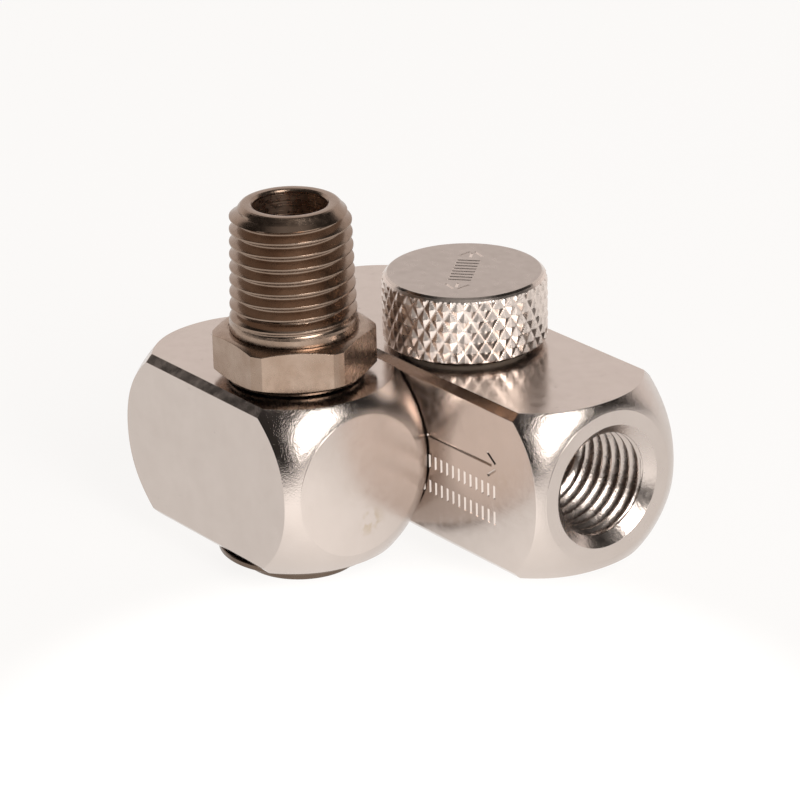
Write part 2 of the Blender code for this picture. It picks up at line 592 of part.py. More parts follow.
def make_knob(knob):
    """Knurled knob pressed on the plug's neck, with a washer in its hollow underside."""
    place = (KNOB_X, VALVE_Y, AXIS_HEIGHT)
    outline = [(0.0, NECK_TOP + SEAT), (NECK_RADIUS + SEAT, NECK_TOP + SEAT),
               (NECK_RADIUS + SEAT, KNOB_RECESS_TOP), (KNOB_RECESS_RADIUS, KNOB_RECESS_TOP),
               (KNOB_RECESS_RADIUS, KNOB_LOW),
               (KNOB_RADIUS - KNOB_LOW_CHAMFER, KNOB_LOW), (KNOB_RADIUS, KNOB_LOW + KNOB_LOW_CHAMFER),
               (KNOB_RADIUS, KNOB_TOP - KNOB_TOP_CHAMFER), (KNOB_RADIUS - KNOB_TOP_CHAMFER, KNOB_TOP),
               (0.0, KNOB_TOP)]
    make_piece("regulator_knob", turned("regulator_knob", outline, FINE), "nickel", place, parent=knob)
    ring = washer("knob_thrust_washer", PLUG_RADIUS + RUN, KNOB_WASHER_RADIUS,
                  BAR / 2 + SEAT, KNOB_RECESS_TOP - SEAT)
    make_piece("knob_thrust_washer", ring, "white_acetal", place, parent=knob)


def build():
    clear_scene()
    pivot = make_axis("pivot_axis", (PIVOT_X, 0.0, AXIS_HEIGHT))
    stem = make_axis("stem_axis", (STEM_X, SWIVEL_Y, AXIS_HEIGHT), pivot)
    knob = make_axis("knob_axis", (KNOB_X, VALVE_Y, AXIS_HEIGHT))
    make_swivel_block(pivot)
    make_tool_stem(stem)
    make_stem_fittings(stem)
    make_valve_body()
    make_pivot()
    make_valve_plug(knob)
    make_knob(knob)


build()
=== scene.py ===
import json
import math

import bmesh
import bpy
import numpy as np
from mathutils import Matrix, Vector


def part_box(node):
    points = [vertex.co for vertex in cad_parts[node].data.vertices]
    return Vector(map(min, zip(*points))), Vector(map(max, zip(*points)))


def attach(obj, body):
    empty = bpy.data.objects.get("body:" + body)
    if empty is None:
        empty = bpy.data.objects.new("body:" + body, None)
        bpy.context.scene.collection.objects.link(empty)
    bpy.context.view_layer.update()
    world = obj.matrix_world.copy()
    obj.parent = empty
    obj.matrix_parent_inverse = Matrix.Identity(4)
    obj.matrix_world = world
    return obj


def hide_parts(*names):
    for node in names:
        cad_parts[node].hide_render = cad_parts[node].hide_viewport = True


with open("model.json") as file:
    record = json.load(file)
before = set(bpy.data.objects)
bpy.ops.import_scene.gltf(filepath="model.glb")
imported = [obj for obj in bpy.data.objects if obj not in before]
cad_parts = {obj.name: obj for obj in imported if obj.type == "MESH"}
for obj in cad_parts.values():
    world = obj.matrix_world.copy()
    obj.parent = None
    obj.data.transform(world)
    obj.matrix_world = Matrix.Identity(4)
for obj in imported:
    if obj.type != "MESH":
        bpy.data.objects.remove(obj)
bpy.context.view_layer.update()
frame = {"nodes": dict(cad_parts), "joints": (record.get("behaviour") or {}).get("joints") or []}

MM = 0.001


# ---------------------------------------------------------------- camera
# The fitting is looked at from its port end, over the swivel block's free corner, with a long lens.
# The aim point is given from the crossing of the stem's axis with the middle of the blocks.
def joint_place(name):
    """A point on a joint's axis, at the height of the middle of both blocks."""
    return Vector(next(j["pos_m"] for j in frame["joints"] if j["name"] == name))


STEM = joint_place("stem_swivel")
KNOB = joint_place("knob_turn")
PIVOT = joint_place("block_swivel")

LENS = 170.66
CAMERA_AZIMUTH = math.radians(52.617)
CAMERA_HEIGHT = math.radians(22.581)
CAMERA_ROLL = math.radians(-1.335)
CAMERA_DISTANCE = 411.84 * MM
AIM_RIGHT = 11.025 * MM
AIM_UP = 5.806 * MM


def make_camera():
    """Camera axes from azimuth and height above the horizon, then rolled about the line of sight."""
    ca, sa = math.cos(CAMERA_AZIMUTH), math.sin(CAMERA_AZIMUTH)
    ch, sh = math.cos(CAMERA_HEIGHT), math.sin(CAMERA_HEIGHT)
    back = Vector((ch * sa, -ch * ca, sh))
    level_right = Vector((ca, sa, 0))
    level_up = back.cross(level_right)
    right = math.cos(CAMERA_ROLL) * level_right + math.sin(CAMERA_ROLL) * level_up
    up = back.cross(right)
    place = STEM + AIM_RIGHT * right + AIM_UP * up + CAMERA_DISTANCE * back
    camera = bpy.data.objects.new("camera", bpy.data.cameras.new("camera"))
    camera.data.lens = LENS
    camera.data.clip_start = 0.01
    camera.matrix_world = Matrix.Translation(place) @ Matrix((right, up, back)).transposed().to_4x4()
    bpy.context.scene.collection.objects.link(camera)
    bpy.context.scene.camera = camera


make_camera()


# ---------------------------------------------------------------- studio
# A white table that glows evenly, so that its shadows stay faint, and brighter in a painted pool of light
# round one spot; one soft box before the port end, a bright wall on the far side and a dim ceiling. All
# else is dark, as in a small studio.
def node(tree, kind, inputs=(), **settings):
    """One shader node; inputs are (socket, value or output socket) pairs."""
    made = tree.nodes.new(kind)
    for key, value in settings.items():
        setattr(made, key, value)
    for socket, source in inputs:
        if isinstance(source, bpy.types.NodeSocket):
            tree.links.new(source, made.inputs[socket])
        else:
            made.inputs[socket].default_value = source
    return made


def maths(tree, operation, one, other):
    return node(tree, "ShaderNodeMath", [(0, one), (1, other)], operation=operation).outputs[0]


def vectors(tree, operation, one, other):
    """The node's result; a distance or a dot product comes out at Value."""
    made = node(tree, "ShaderNodeVectorMath", [(0, one), (1, other)], operation=operation)
    return made.outputs["Value" if operation in ("DISTANCE", "DOT_PRODUCT") else "Vector"]


def ranged(tree, value, low, high, to_low=0.0, to_high=1.0, soft=False):
    """The value's place between low and high, stretched to run from to_low to to_high."""
    sockets = [("Value", value), ("From Min", low), ("From Max", high), ("To Min", to_low),
               ("To Max", to_high)]
    return node(tree, "ShaderNodeMapRange", sockets,
                interpolation_type="SMOOTHSTEP" if soft else "LINEAR").outputs[0]


def blend(tree, share, one, other):
    """A colour between two colours."""
    return node(tree, "ShaderNodeMix", [("Factor", share), ("A", one), ("B", other)],
                data_type="RGBA").outputs["Result"]


def surface(name):
    """A new material: its node tree and its Principled shader."""
    material = bpy.data.materials.new(name)
    material.use_nodes = True
    return material, material.node_tree, material.node_tree.nodes["Principled BSDF"]


TABLE_HALF = 3.0
TABLE_GLOW = 0.90
# Middle, glow and reach of a painted pool of light on the table; no lamp stands there.
PAINTED_POOL_PLACE = (0.042, -0.031, 0.0)
PAINTED_POOL_GLOW = 1.48
PAINTED_POOL_CORE = 0.016
PAINTED_POOL_REACH = 0.050


def make_table():
    """A white table top that glows evenly, and brighter in a painted pool of light round one spot."""
    mesh = bpy.data.meshes.new("table_top")
    corners = [(x * TABLE_HALF, y * TABLE_HALF, 0) for x, y in ((-1, -1), (1, -1), (1, 1), (-1, 1))]
    mesh.from_pydata(corners, [], [(0, 1, 2, 3)])
    material, tree, shader = surface("white_table")
    here = node(tree, "ShaderNodeTexCoord").outputs["Object"]
    away = vectors(tree, "DISTANCE", here, PAINTED_POOL_PLACE)
    # Painted pool of light: the glow rises from the table's even level to the pool's level near its spot.
    glow = ranged(tree, away, PAINTED_POOL_REACH, PAINTED_POOL_CORE, TABLE_GLOW, PAINTED_POOL_GLOW, soft=True)
    tree.links.new(glow, shader.inputs["Emission Strength"])
    shader.inputs["Base Color"].default_value = (0.10, 0.099, 0.098, 1)
    shader.inputs["Roughness"].default_value = 0.8
    shader.inputs["Specular IOR Level"].default_value = 0.1
    shader.inputs["Emission Color"].default_value = (1.0, 0.985, 0.97, 1)
    mesh.materials.append(material)
    table = bpy.data.objects.new("table_top", mesh)
    bpy.context.scene.collection.objects.link(table)


def soft_box(name, azimuth, height, roll, width, tall, power):
    """A rectangular area light one metre away; azimuth is counted from +X towards +Y."""
    light = bpy.data.lights.new(name, "AREA")
    light.shape = "RECTANGLE"
    light.size = width
    light.size_y = tall
    light.energy = power
    light.color = (1.0, 0.985, 0.965)
    a, h = math.radians(azimuth), math.radians(height)
    direction = Vector((math.cos(h) * math.cos(a), math.cos(h) * math.sin(a), math.sin(h)))
    lamp = bpy.data.objects.new(name, light)
    turn = direction.to_track_quat("Z", "Y").to_matrix() @ Matrix.Rotation(math.radians(roll), 3, "Z")
    lamp.matrix_world = Matrix.Translation(STEM + direction) @ turn.to_4x4()
    bpy.context.scene.collection.objects.link(lamp)


WALL_AZIMUTH = math.radians(142.6)
DARK = (0.035, 0.032, 0.030, 1)
WALL_LIGHT = (0.94, 0.868, 0.832, 1)
CEILING_LIGHT = (0.80, 0.76, 0.73, 1)


def make_surroundings():
    """World light by direction: a bright wall up to its top edge, a dim ceiling, else nearly dark.

    A direction meets the wall if it heads within about 75 degrees of the wall's azimuth and rises
    by less than about 45 degrees over its run towards the wall. Below the horizon all is bright.
    """
    world = bpy.data.worlds.new("studio")
    world.use_nodes = True
    bpy.context.scene.world = world
    tree = world.node_tree
    direction = node(tree, "ShaderNodeTexCoord").outputs["Generated"]
    height = node(tree, "ShaderNodeSeparateXYZ", [(0, direction)]).outputs["Z"]
    flat = vectors(tree, "MULTIPLY", direction, (1, 1, 0))
    heading = node(tree, "ShaderNodeVectorMath", [(0, flat)], operation="NORMALIZE").outputs["Vector"]
    wall = (math.cos(WALL_AZIMUTH), math.sin(WALL_AZIMUTH), 0)
    wide = ranged(tree, vectors(tree, "DOT_PRODUCT", heading, wall), 0.22, 0.34, soft=True)
    rise = maths(tree, "DIVIDE", height, vectors(tree, "DOT_PRODUCT", direction, wall))
    low = ranged(tree, rise, 1.15, 0.85, soft=True)
    below = maths(tree, "LESS_THAN", height, 0.0)
    bright = maths(tree, "MAXIMUM", maths(tree, "MULTIPLY", wide, low), below)
    overhead = ranged(tree, height, 0.86, 0.97, 0.0, 0.45, soft=True)
    light = blend(tree, overhead, blend(tree, bright, DARK, WALL_LIGHT), CEILING_LIGHT)
    tree.links.new(light, tree.nodes["Background"].inputs["Color"])


make_table()
soft_box("key_soft_box", -6, 31, 24, 0.50, 0.62, 9)
make_surroundings()
bpy.context.scene.view_settings.view_transform = "Standard"


# ---------------------------------------------------------------- swivel block
# A length of square bar with chamfered long edges, whose ends are turned round in the lathe, then
# bored for the stem and the spindle. It is bright nickel plated all over.
def rounded_path(corners, leg, steps):
    """Points along a closed polygon whose corners are parabolas.

    Each corner C becomes (1-s)^2 A + 2s(1-s) C + s^2 B, with A and B one leg before and after it.
    steps gives the number of points on the straight stretch after each corner.
    """
    corners = np.array(corners, float)
    before = np.roll(corners, 1, 0) - corners
    after = np.roll(corners, -1, 0) - corners
    start = corners + leg * before / np.linalg.norm(before, axis=1)[:, None]
    stop = corners + leg * after / np.linalg.norm(after, axis=1)[:, None]
    s = np.linspace(0, 1, 4)[:, None]
    stretches = []
    for k, count in enumerate(steps):
        bend = (1 - s) ** 2 * start[k] + 2 * s * (1 - s) * corners[k] + s ** 2 * stop[k]
        t = np.linspace(0, 1, count + 1)[1:-1, None]
        goal = start[(k + 1) % len(corners)]
        stretches += [bend, stop[k] + t * (goal - stop[k])]
    return np.concatenate(stretches)


def bar_outline():
    """Outline of the chamfered bar, anticlockwise in (y, z) from the axis of the bores."""
    h, far, c = BAR / 2, BAR_WIDTH - BAR / 2, BAR_CHAMFER
    corners = [(far, c - h), (far, h - c), (far - c, h), (c - h, h),
               (-h, h - c), (-h, c - h), (c - h, -h), (far - c, -h)]
    return rounded_path(corners, BAR_EDGE, [30, 3] * 4)


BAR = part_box("swivel_block")[1].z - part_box("swivel_block")[0].z
BAR_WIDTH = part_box("swivel_block")[1].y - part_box("swivel_block")[0].y
BAR_CHAMFER = 0.8 * MM
BAR_EDGE = 0.06 * MM
END_SLOPE = 0.277
END_CURVE = 0.155 / MM
EDGE = 0.05 * MM
DISC_STEP = 0.03 * MM


def turned_end(outline, face_radius):
    """Rows (radius, setback) from the flat disc's rim out to the bar's side.

    The disc stands a hair proud. Outside it, at distance d, the lathe leaves a setback of
    slope * d + curve * d * d.
    """
    reach = np.linalg.norm(outline, axis=1)

    def fall(distance):
        return DISC_STEP + END_SLOPE * distance + END_CURVE * distance ** 2

    share = np.linspace(0, 1, 16)[:, None] ** 1.2
    curve_radius = face_radius + share * (reach - EDGE - face_radius)
    curve = fall(curve_radius - face_radius)
    s = np.linspace(0, 1, 4)[1:, None]
    last, tip = curve[-1], fall(reach - face_radius)
    edge_radius = (1 - s) ** 2 * curve_radius[-1] + (1 - (1 - s) ** 2) * reach
    edge = (1 - s) ** 2 * last + 2 * s * (1 - s) * tip + s ** 2 * (tip + EDGE)
    rim = np.full_like(reach, face_radius - DISC_STEP)[None]
    radius = np.concatenate([rim, curve_radius, edge_radius])
    setback = np.concatenate([np.zeros_like(rim), curve, edge])
    return radius, setback


def grid_faces(rows, columns, lift=0, first=0):
    """Quads of a grid that is closed round its columns; lift joins the last column that many rows up."""
    i, j = np.meshgrid(np.arange(rows - 1), np.arange(columns), indexing="ij")
    after = (j + 1) % columns
    up = np.where(j == columns - 1, lift, 0)
    quads = np.stack([i * columns + j, (i + up) * columns + after,
                      (i + 1 + up) * columns + after, (i + 1) * columns + j], -1).reshape(-1, 4)
    return first + quads[quads.max(1) < rows * columns]


def solid(name, skins, crease=12):
    """One closed piece from grids of points (rows, columns, xyz), each with its faces' finish number.

    The grids share their border points, which are merged. Faces then turn outwards, and edges
    sharper than crease degrees stay sharp.
    """
    points, faces, finishes = [], [], []
    count = 0
    for grid, finish, lift in skins:
        quads = grid_faces(*grid.shape[:2], lift, count)
        points.append(grid.reshape(-1, 3))
        faces.append(quads)
        finishes.append(np.full(len(quads), finish))
        count += grid.shape[0] * grid.shape[1]
    mesh = bpy.data.meshes.new(name)
    mesh.from_pydata(np.concatenate(points).tolist(), [], np.concatenate(faces).tolist())
    mesh.polygons.foreach_set("material_index", np.concatenate(finishes).astype(np.int32))
    shell = bmesh.new()
    shell.from_mesh(mesh)
    bmesh.ops.remove_doubles(shell, verts=shell.verts, dist=0.0008 * MM)
    bmesh.ops.recalc_face_normals(shell, faces=shell.faces)
    shell.to_mesh(mesh)
    shell.free()
    piece = bpy.data.objects.new(name, mesh)
    bpy.context.scene.collection.objects.link(piece)
    smooth(mesh, crease)
    return piece


def smooth(mesh, crease):
    mesh.shade_smooth()
    mesh.set_sharp_from_angle(angle=math.radians(crease))


def even_shading(piece):
    """Large flat faces keep flat normals next to their rounded edges."""
    step = piece.modifiers.new("even_shading", "WEIGHTED_NORMAL")
    step.keep_sharp = True
    step.weight = 50


def cut(piece, cutters, crease=12):
    """Cuts the cutters out of the piece for good, and removes them."""
    for cutter in cutters:
        step = piece.modifiers.new("cut", "BOOLEAN")
        step.operation = "DIFFERENCE"
        step.object = cutter
    bpy.context.view_layer.update()
    ready = bpy.data.meshes.new_from_object(piece.evaluated_get(bpy.context.evaluated_depsgraph_get()))
    piece.modifiers.clear()
    piece.data = ready
    smooth(ready, crease)
    for cutter in cutters:
        bpy.data.objects.remove(cutter, do_unlink=True)


def around(profile, angles):
    """Points of a turned form: each (radius, height) row of the profile at every angle."""
    radius = np.stack([np.broadcast_to(r, angles.shape) for r, _ in profile])
    height = np.stack([np.broadcast_to(z, angles.shape) for _, z in profile])
    return np.stack([radius * np.cos(angles), radius * np.sin(angles), height], -1)


def laid(points, axis, place):
    """Points made about Z, laid along another axis (as a right-handed turn) and put in place."""
    x, y, z = points[..., 0], points[..., 1], points[..., 2]
    turned = {"Z": (x, y, z), "X": (z, y, -x), "Y": (x, z, -y)}[axis]
    return np.stack(turned, -1) + np.array(place)


def even_angles(count):
    return np.arange(count) * math.tau / count


def bore_cutter(profile, axis, place, finish, sides=96):
    return solid("cutter", [(laid(around(profile, even_angles(sides)), axis, place), finish, 0)])


def turned_bar(centre, length, outline, face_radius, front=None):
    """Skins of a bar along X with turned ends; front replaces the flat disc of the +X end.

    Finishes: 0 drawn sides, 1 turned ends, 2 flat discs.
    """
    direction = outline / np.linalg.norm(outline, axis=1)[:, None]
    radius, setback = turned_end(outline, face_radius)

    def end(sign):
        x = sign * (length / 2 - setback)
        return np.concatenate([x[..., None], radius[..., None] * direction], -1) + np.array(centre)

    def disc(sign):
        r = np.array([0.0, 0.5, 1.0])[:, None, None] * (face_radius - DISC_STEP)
        points = r * direction
        x = np.full(points.shape[:2] + (1,), sign * length / 2)
        return np.concatenate([x, points], -1) + np.array(centre)

    near, far = end(1), end(-1)
    sides = np.stack([near[-1], far[-1]])
    return [(near, 1, 0), (far, 1, 0), (sides, 0, 0), (disc(-1), 2, 0)] + (front or [(disc(1), 2, 0)])


def noise(tree, place, scale, detail, roughness=0.5):
    """Fractal noise between 0 and 1, with so many specks in a metre."""
    return node(tree, "ShaderNodeTexNoise", [("Vector", place), ("Scale", scale), ("Detail", detail),
                                             ("Roughness", roughness)]).outputs["Fac"]


def tool_rings(tree, distance, pitch):
    """Uneven rings at the pitch of the tool's feed."""
    wound = maths(tree, "MULTIPLY", distance, 1 / pitch)
    return node(tree, "ShaderNodeTexNoise", [("W", wound), ("Scale", 1.0), ("Detail", 2.0)],
                noise_dimensions="1D").outputs["Fac"]


def mixed_heights(tree, share, one, other):
    return node(tree, "ShaderNodeMix", [("Factor", share), ("A", one), ("B", other)],
                data_type="FLOAT").outputs["Result"]


def finish_metal(material, tint, rough, height, relief):
    """Links a metal's colour, roughness and the height of its marks to its shader."""
    tree = material.node_tree
    shader = tree.nodes["Principled BSDF"]
    bump = node(tree, "ShaderNodeBump", [("Height", height), ("Distance", relief)])
    tree.links.new(tint, shader.inputs["Base Color"])
    tree.links.new(rough, shader.inputs["Roughness"])
    tree.links.new(bump.outputs[0], shader.inputs["Normal"])
    shader.inputs["Metallic"].default_value = 1.0


def plate_tone(colour, tone):
    return tuple(part * tone for part in colour) + (1,)


STAIN_RADIUS = 2.2 * MM
DRIED_OIL = (0.50, 0.40, 0.29, 1)


def brown_stain(tree, here, tint, place):
    """A faint blotchy patch of dried oil, laid over the tint."""
    away = vectors(tree, "DISTANCE", here, tuple(place))
    near = ranged(tree, away, STAIN_RADIUS, 0.2 * MM, soft=True)
    blotches = ranged(tree, noise(tree, here, 900.0, 4.0), 0.46, 0.60, 0.0, 0.75)
    return blend(tree, maths(tree, "MULTIPLY", near, blotches), tint, DRIED_OIL)


def nickel(name, marks, relief, shine, tone=1.0, stain=None):
    """Bright nickel plate, warm grey, over metal whose machining marks still show.

    marks makes the height of the marks, relief is how deep they are, shine is the range of the
    roughness, and tone darkens the plate. A stain is given by its middle.
    """
    material, tree, _ = surface(name)
    here = node(tree, "ShaderNodeTexCoord").outputs["Object"]
    tint = blend(tree, noise(tree, here, 260.0, 4.0), plate_tone((0.552, 0.480, 0.434), tone),
                 plate_tone((0.620, 0.545, 0.500), tone))
    if stain is not None:
        tint = brown_stain(tree, here, tint, stain)
    rough = ranged(tree, noise(tree, here, 900.0, 4.0), 0.3, 0.7, *shine)
    finish_metal(material, tint, rough, marks(tree, here), relief)
    return material


def drawn_marks(stretch):
    """Fine lines of drawing and polishing, longer along each axis by its stretch, with a few dents."""
    def height(tree, here):
        scale = [5200.0 / part for part in stretch]
        lines = node(tree, "ShaderNodeMapping", [("Vector", here), ("Scale", scale)]).outputs[0]
        dents = ranged(tree, noise(tree, here, 1300.0, 2.0), 0.27, 0.22, 0.0, -6.0)
        return maths(tree, "ADD", noise(tree, lines, 1.0, 3.0), dents)
    return height


def lathe_marks(axis_place, pitch, glitter):
    """Rings round an axis along X, at the tool's feed, with fine pits of the plate over them."""
    def height(tree, here):
        centred = vectors(tree, "SUBTRACT", here, tuple(axis_place))
        flat = vectors(tree, "MULTIPLY", centred, (0, 1, 1))
        radius = vectors(tree, "DISTANCE", flat, (0, 0, 0))
        pits = noise(tree, here, 5000.0, 4.0, 0.62)
        return mixed_heights(tree, glitter, tool_rings(tree, radius, pitch), pits)
    return height


def hole_marks(tree, here):
    return noise(tree, here, 2500.0, 3.0)


def middle(node_name):
    low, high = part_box(node_name)
    return (low + high) / 2


SWIVEL_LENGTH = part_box("swivel_block")[1].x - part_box("swivel_block")[0].x
SWIVEL_FACE = 8.0 * MM
STEM_HOLE = 5.7 * MM
PIVOT_HOLE = 4.5 * MM
PIVOT_HOLE_END = 3.2 * MM
HOLE_CHAMFER = 0.3 * MM

bore_nickel = nickel("nickel_in_bores", hole_marks, 0.02 * MM, (0.20, 0.30))


def make_swivel_block():
    centre = Vector((middle("swivel_block").x, STEM.y, STEM.z))
    outline = bar_outline()
    block = solid("swivel_block_shell", turned_bar(centre, SWIVEL_LENGTH, outline, SWIVEL_FACE))
    half = BAR / 2
    mouth = STEM_HOLE + HOLE_CHAMFER
    profile = [(0, -BAR), (mouth, -BAR), (mouth, -half), (STEM_HOLE, HOLE_CHAMFER - half),
               (STEM_HOLE, half - HOLE_CHAMFER), (mouth, half), (mouth, BAR), (0, BAR)]
    stem_bore = bore_cutter(profile, "Z", STEM, 3)
    far = BAR_WIDTH - half
    profile = [(0, -PIVOT_HOLE_END), (PIVOT_HOLE, -PIVOT_HOLE_END), (PIVOT_HOLE, far - HOLE_CHAMFER),
               (PIVOT_HOLE + HOLE_CHAMFER, far), (PIVOT_HOLE + HOLE_CHAMFER, BAR), (0, BAR)]
    pivot_bore = bore_cutter(profile, "Y", (PIVOT.x, centre.y, centre.z), 3)
    stain = centre + Vector((SWIVEL_LENGTH / 2, 1.2 * MM, -4.6 * MM))  # low on the port side's disc
    drawn = nickel("nickel_drawn_swivel", drawn_marks((14, 3, 1)), 0.004 * MM, (0.14, 0.26))
    turned = nickel("nickel_turned_swivel", lathe_marks(centre, 0.05 * MM, 0.85), 0.040 * MM, (0.08, 0.15))
    faced = nickel("nickel_faced_swivel", lathe_marks(centre, 0.12 * MM, 0.3), 0.006 * MM, (0.14, 0.22),
                   1.04, stain)
    for finish in (drawn, turned, faced, bore_nickel):
        block.data.materials.append(finish)
    cut(block, [stem_bore, pivot_bore])
    even_shading(block)
    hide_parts("swivel_block")
    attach(block, "swivel_block")


make_swivel_block()


# ---------------------------------------------------------------- valve body
# The longer bar, turned at both ends, tapped at the +X end with a taper pipe thread behind a
# countersink, and bored across for the regulator plug and for the spindle.
PITCH = 25.4 / 18 * MM
THREAD_DEPTH = 1.0 * MM
TAPER = 1 / 32
ROOT_FLAT = 0.10
CREST_FLAT = 0.12
FLANK_WEAR = 0.03
# One turn of a thread from root to root: finer steps where the flanks meet the root and the crest.
THREAD_STEPS = np.array([0, 0.03, 0.05, 0.07, 0.10, 0.17, 0.25, 0.33, 0.40, 0.43, 0.445, 0.46, 0.48])
THREAD_STEPS = np.concatenate([THREAD_STEPS, [0.5], 1 - THREAD_STEPS[:0:-1]])


def thread_form(turns):
    """Height 0 to 1 of a pipe thread after so many turns: flat root, straight flanks, flat crest."""
    up = 1 - np.abs(2 * (turns % 1.0) - 1)
    linear = np.clip((up - ROOT_FLAT) / (1 - ROOT_FLAT - CREST_FLAT), 0, 1)
    return (np.clip(linear, FLANK_WEAR, 1 - FLANK_WEAR) + linear) / 2


def helix_rows(low, high, angles):
    """Heights of rows that climb one pitch in a turn, cut off at both ends, and the rows per turn."""
    turns = int(math.ceil((high - low) / PITCH))
    phases = (np.arange(-1, turns)[:, None] + THREAD_STEPS[None]).ravel()
    phases = np.append(phases, turns)
    heights = low + (phases[:, None] + angles[None] / math.tau) * PITCH
    return np.clip(heights, low, high), len(THREAD_STEPS)


VALVE_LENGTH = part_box("valve_body")[1].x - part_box("valve_body")[0].x
VALVE_FACE = 8.55 * MM
PORT_MOUTH = 6.85 * MM
PORT_CREST = 5.75 * MM
THREAD_START = 1.0 * MM
THREAD_END = 12.2 * MM
PORT_DEPTH = 14.5 * MM
AIR_WAY = 3.0 * MM
PLUG_BORE = 5.3 * MM
PLUG_RECESS = 7.2 * MM
PLUG_RECESS_TOP = -7.0 * MM
THRUST_RECESS = 7.3 * MM
THRUST_RECESS_DEPTH = 0.9 * MM


ROOF_RISE = 0.2  # how far a stroke's cutter stands out of the surface, as a part of its depth


def stroke_cutter(strokes, width, depth, origin, along, across, out):
    """V grooves along straight strokes of a flat face, as one mesh of roof shapes with pointed ends.

    A stroke from P to Q has its sides half a width off at the surface and its keel at the depth.
    Points (a, b) of the face lie at origin + a * along + b * across.
    """
    ends = np.array(strokes, float)
    start, stop = ends[:, 0], ends[:, 1]
    run = (stop - start) / np.linalg.norm(stop - start, axis=1)[:, None]
    side = np.stack([-run[:, 1], run[:, 0]], 1) * (1 + ROOF_RISE) * width / 2
    flat = np.stack([start - side, stop - side, stop + side, start + side,
                     start + run * width / 2, stop - run * width / 2], 1)
    level = np.broadcast_to(np.array([ROOF_RISE] * 4 + [-1, -1]) * depth, flat.shape[:2])
    frame_of_face = np.array([along, across, out], float)
    points = np.concatenate([flat, level[..., None]], 2).reshape(-1, 3) @ frame_of_face + np.array(origin)
    first = np.arange(len(strokes))[:, None, None] * 6
    quads = first + np.array([(0, 1, 2, 3), (0, 4, 5, 1), (2, 5, 4, 3)])
    tips = first + np.array([(0, 3, 4), (1, 5, 2)])
    mesh = bpy.data.meshes.new("strokes")
    mesh.from_pydata(points.tolist(), [], quads.reshape(-1, 4).tolist() + tips.reshape(-1, 3).tolist())
    shell = bmesh.new()
    shell.from_mesh(mesh)
    bmesh.ops.recalc_face_normals(shell, faces=shell.faces)
    shell.to_mesh(mesh)
    shell.free()
    cutter = bpy.data.objects.new("strokes", mesh)
    bpy.context.scene.collection.objects.link(cutter)
    return cutter


def arrow_strokes(tip, tail, barb, gap):
    """An arrow as separate stamped strokes: a shaft, and two barbs that start a gap off the tip."""
    tip, tail = np.array(tip), np.array(tail)
    ahead = (tip - tail) / np.linalg.norm(tip - tail)
    left = np.array([-ahead[1], ahead[0]])
    strokes = [(tail, tip - ahead * 3 * gap)]
    for sign in (1, -1):
        away = -ahead * 0.78 + sign * left * 0.62
        strokes.append((tip + sign * left * gap - ahead * gap, tip + away * barb))
    return strokes


def flow_marks(centre):
    """Rolled into the face beside the swivel block: a plain flow arrow over two rows of ticks."""
    strokes = arrow_strokes((19.0 * MM, 2.6 * MM), (7.0 * MM, 2.6 * MM), 2.2 * MM, 0.32 * MM)
    for row, height in ((-0.4 * MM, 0.8 * MM), (-3.4 * MM, 0.8 * MM)):
        for spot in np.linspace(6.4 * MM, 18.4 * MM, 13):
            strokes.append(((spot, row - height), (spot, row + height)))
    face = (centre.x, centre.y - BAR / 2, centre.z)
    return stroke_cutter(strokes, 0.32 * MM, 0.15 * MM, face, (1, 0, 0), (0, 0, 1), (0, -1, 0))


